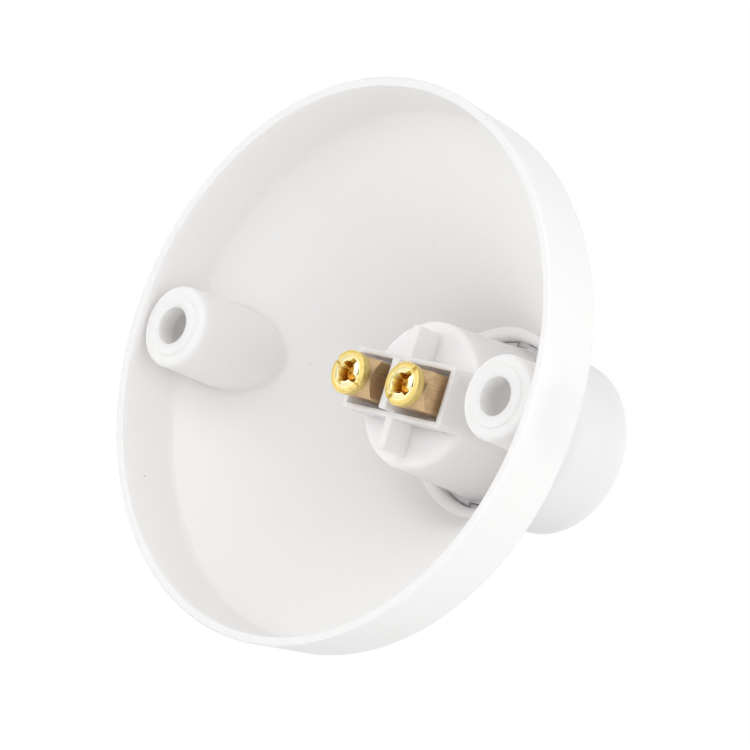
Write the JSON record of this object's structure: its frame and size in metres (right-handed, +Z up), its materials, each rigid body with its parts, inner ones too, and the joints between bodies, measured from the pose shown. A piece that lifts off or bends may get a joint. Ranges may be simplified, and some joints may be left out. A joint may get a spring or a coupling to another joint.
{
  "type": "wall lamp holder",
  "caption": "White moulded wall lamp holder: a trumpet dish with hollow fixing posts, a short tube, and a core with brass screw terminals and sprung bayonet contacts.",
  "frame": {"origin": "on the lamp axis in the plane of the rim's back edge, which is the wall", "axes": "+Y towards the wall, -Y along the lamp axis to the mouth, +Z up, and the two fixing posts on +X and -X"},
  "size_m": [0.1, 0.0626, 0.1],
  "materials": {
    "shell_plastic": "soft satin moulded white",
    "core_plastic": "glossier moulded white",
    "block_brass": "dull drawn and turned brass",
    "screw_brass": "bright brass plate",
    "contact_brass": "turned brass",
    "spring_steel": "drawn wire"
  },
  "bodies": {
    "holder": {"body_shell": "shell_plastic", "core": "core_plastic", "terminal_block_left": "block_brass", "contact_spring_left": "spring_steel", "terminal_block_right": "block_brass", "contact_spring_right": "spring_steel"},
    "contact_left": {"contact_plunger_left": "contact_brass"},
    "screw_left": {"terminal_screw_left": "screw_brass"},
    "contact_right": {"contact_plunger_right": "contact_brass"},
    "screw_right": {"terminal_screw_right": "screw_brass"}
  },
  "joints": [
    {"name": "contact_left_press", "type": "slide", "parent": "holder", "child": "contact_left", "axis": [0, 1, 0], "range_m": [0, 0.005], "stiffness_N_per_m": 1500, "springref_m": -0.002, "deforming": ["contact_spring_left"]},
    {"name": "screw_left_loosen", "type": "slide", "parent": "holder", "child": "screw_left", "axis": [0, 1, 0], "range_m": [0, 0.003]},
    {"name": "contact_right_press", "type": "slide", "parent": "holder", "child": "contact_right", "axis": [0, 1, 0], "range_m": [0, 0.005], "stiffness_N_per_m": 1500, "springref_m": -0.002, "deforming": ["contact_spring_right"]},
    {"name": "screw_right_loosen", "type": "slide", "parent": "holder", "child": "screw_right", "axis": [0, 1, 0], "range_m": [0, 0.003]}
  ]
}
